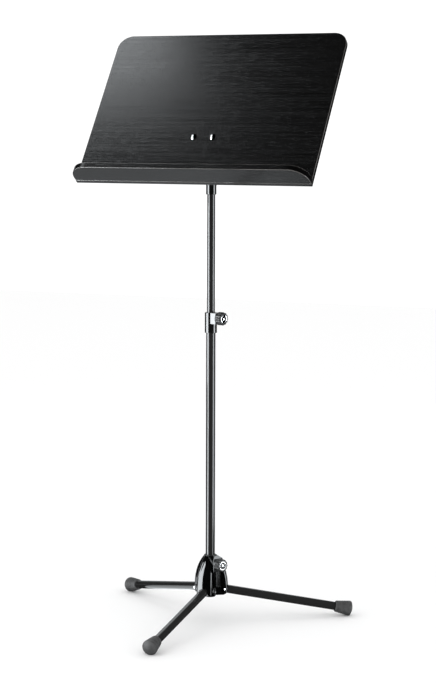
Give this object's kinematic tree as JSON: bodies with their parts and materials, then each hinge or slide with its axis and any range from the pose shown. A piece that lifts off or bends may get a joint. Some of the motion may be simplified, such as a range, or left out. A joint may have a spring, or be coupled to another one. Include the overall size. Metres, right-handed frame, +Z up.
{
  "type": "music stand",
  "caption": "Orchestral music stand: leaning wooden desk with a ledge on a telescopic post and a folding tripod base.",
  "frame": {"origin": "on the floor plane under the three rubber feet, on the axis of the post", "axes": "+Z up along the post, +X to the right as the musician faces the desk, musician on the -Y side"},
  "size_m": [0.55, 0.4802, 1.2556],
  "materials": {
    "black_stained_wood": "black stained veneer, satin lacquer",
    "gloss_black_tube": "gloss black powder coat",
    "gloss_black_casting": "high gloss black coat",
    "black_collar": "polished black moulding",
    "black_knob_plastic": "fine moulded texture",
    "bright_chrome": "bright plated",
    "zinc_steel": "zinc plated",
    "black_bracket_steel": "satin black powder coat",
    "black_nylon": "matt moulded",
    "foot_rubber": "matt ribbed rubber"
  },
  "bodies": {
    "base": {"base_casting": "gloss_black_casting", "base_bush_top": "black_nylon", "base_bush_low": "black_nylon", "leg_bolts": "bright_chrome", "leg_nuts": "black_bracket_steel", "leg_spacers": "zinc_steel", "base_pressure_pad": "black_nylon"},
    "front_leg": {"leg_tube_front": "gloss_black_tube", "rubber_foot_front": "foot_rubber"},
    "right_leg": {"leg_tube_right": "gloss_black_tube", "rubber_foot_right": "foot_rubber"},
    "left_leg": {"leg_tube_left": "gloss_black_tube", "rubber_foot_left": "foot_rubber"},
    "base_clamp_knob": {"base_knob": "black_knob_plastic", "base_knob_cap": "bright_chrome", "base_clamp_screw": "zinc_steel"},
    "lower_stage": {"lower_post": "gloss_black_tube", "lower_post_plug": "black_knob_plastic", "height_collar": "black_collar", "height_bush": "black_nylon", "height_pressure_pad": "black_nylon"},
    "height_clamp_knob": {"height_knob": "black_knob_plastic", "height_knob_cap": "bright_chrome", "height_clamp_screw": "zinc_steel"},
    "upper_stage": {"upper_post": "gloss_black_tube", "upper_post_glide": "black_nylon"},
    "desk_head": {"desk_socket": "black_collar", "socket_screw": "zinc_steel", "friction_discs": "black_nylon"},
    "desk": {"desk_panel": "black_stained_wood", "desk_ledge": "black_stained_wood", "ledge_screws": "zinc_steel", "desk_bracket": "black_bracket_steel", "desk_screws": "bright_chrome", "desk_washers": "zinc_steel", "desk_nuts": "zinc_steel", "tilt_bolt": "zinc_steel", "tilt_washer": "zinc_steel"},
    "tilt_clamp_knob": {"tilt_knob": "black_knob_plastic", "tilt_knob_cap": "bright_chrome", "tilt_knob_insert": "zinc_steel"}
  },
  "joints": [
    {"name": "front_leg_fold", "type": "hinge", "parent": "base", "child": "front_leg", "pos_m": [0, -0.02589, 0.068], "axis": [1, 0, 0], "range_deg": [0, 77.8]},
    {"name": "right_leg_fold", "type": "hinge", "parent": "base", "child": "right_leg", "pos_m": [0.02242, 0.01295, 0.068], "axis": [-0.5, 0.866, 0], "range_deg": [0, 77.8]},
    {"name": "left_leg_fold", "type": "hinge", "parent": "base", "child": "left_leg", "pos_m": [-0.02242, 0.01295, 0.068], "axis": [-0.5, -0.866, 0], "range_deg": [0, 77.8]},
    {"name": "base_knob_turn", "type": "hinge", "parent": "base", "child": "base_clamp_knob", "pos_m": [0, 0, 0.1256], "axis": [0.866, -0.5, 0], "range_deg": [0, 360]},
    {"name": "post_in_base_slide", "type": "slide", "parent": "base", "child": "lower_stage", "axis": [0, 0, 1], "range_m": [-0.27, 0]},
    {"name": "height_knob_turn", "type": "hinge", "parent": "lower_stage", "child": "height_clamp_knob", "pos_m": [0, 0, 0.656], "axis": [0.9336, -0.3584, 0], "range_deg": [0, 360]},
    {"name": "height_slide", "type": "slide", "parent": "lower_stage", "child": "upper_stage", "axis": [0, 0, 1], "range_m": [-0.245, 0.16]},
    {"name": "desk_swivel", "type": "hinge", "parent": "upper_stage", "child": "desk_head", "pos_m": [0, 0, 0.9175], "axis": [0, 0, 1], "continuous": true},
    {"name": "desk_tilt", "type": "hinge", "parent": "desk_head", "child": "desk", "pos_m": [0, 0, 1.008], "axis": [1, 0, 0], "range_deg": [-54, 35]},
    {"name": "tilt_knob_turn", "type": "hinge", "parent": "desk", "child": "tilt_clamp_knob", "pos_m": [0.011, 0, 1.008], "axis": [1, 0, 0], "range_deg": [0, 360]}
  ]
}
